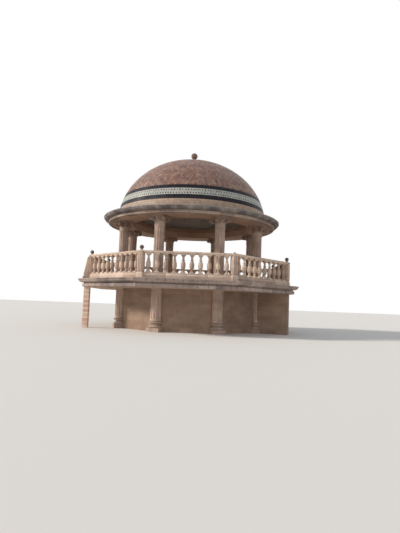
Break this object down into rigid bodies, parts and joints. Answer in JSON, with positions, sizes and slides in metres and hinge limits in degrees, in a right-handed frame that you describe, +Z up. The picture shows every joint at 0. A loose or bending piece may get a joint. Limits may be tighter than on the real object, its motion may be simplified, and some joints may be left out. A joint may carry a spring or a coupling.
{
  "type": "bandstand",
  "caption": "Open stone bandstand: closed octagonal lower room, wide deck with balustrade, fluted columns, round moulded cornice and tiled dome with a ball finial.",
  "frame": {"origin": "centre of the footprint on the ground", "axes": "+Z up; the front side faces -Y; +X to the right seen from the front"},
  "size_m": [11.166, 11.166, 9.95],
  "materials": {
    "wall_stone": "coursed, dusty",
    "column_stone": "dressed, fluted",
    "pier_stone": "coursed",
    "deck_stone": "flagged",
    "cornice_stone": "moulded, weathered",
    "weathered_stone": "moulded, dark with lichen",
    "baluster_stone": "turned and dressed",
    "ball_stone": "weathered",
    "beam_stone": "dressed",
    "dome_plaster": "limewashed",
    "cream_tile": "worn glaze",
    "dark_tile": "glossy",
    "pattern_tile": "glossy, with dark lozenges",
    "red_tile": "glossy, mottled"
  },
  "bodies": {
    "root": {"wall_front": "wall_stone", "wall_front_right": "wall_stone", "wall_right": "wall_stone", "wall_back_right": "wall_stone", "wall_back": "wall_stone", "wall_back_left": "wall_stone", "wall_left": "wall_stone", "wall_front_left": "wall_stone", "lower_columns": "column_stone", "left_corner_pier": "pier_stone", "right_wing_wall": "wall_stone", "deck_slab": "deck_stone", "deck_lower_cornice": "cornice_stone", "deck_upper_cornice": "cornice_stone", "balustrade_base": "baluster_stone", "balusters_front": "baluster_stone", "balusters_front_right": "baluster_stone", "balusters_right": "baluster_stone", "balusters_back_right": "baluster_stone", "balusters_back": "baluster_stone", "balusters_back_left": "baluster_stone", "balusters_left": "baluster_stone", "balusters_front_left": "baluster_stone", "handrail": "baluster_stone", "corner_posts": "baluster_stone", "post_balls": "ball_stone", "left_scroll_buttress": "baluster_stone", "upper_column_front_right": "column_stone", "upper_column_right_front": "column_stone", "upper_column_right_back": "column_stone", "upper_column_back_right": "column_stone", "upper_column_back_left": "column_stone", "upper_column_left_back": "column_stone", "upper_column_left_front": "column_stone", "upper_column_front_left": "column_stone", "capitals": "column_stone", "ring_beam": "beam_stone", "roof_lower_cornice": "cornice_stone", "roof_upper_cornice": "weathered_stone", "inner_ring": "beam_stone", "dome_shell": "dome_plaster", "dome_cream_band": "cream_tile", "dome_dark_bands": "dark_tile", "dome_pattern_band": "pattern_tile", "dome_tile_field": "red_tile", "dome_cap": "ball_stone", "dome_finial": "ball_stone"}
  },
  "joints": []
}
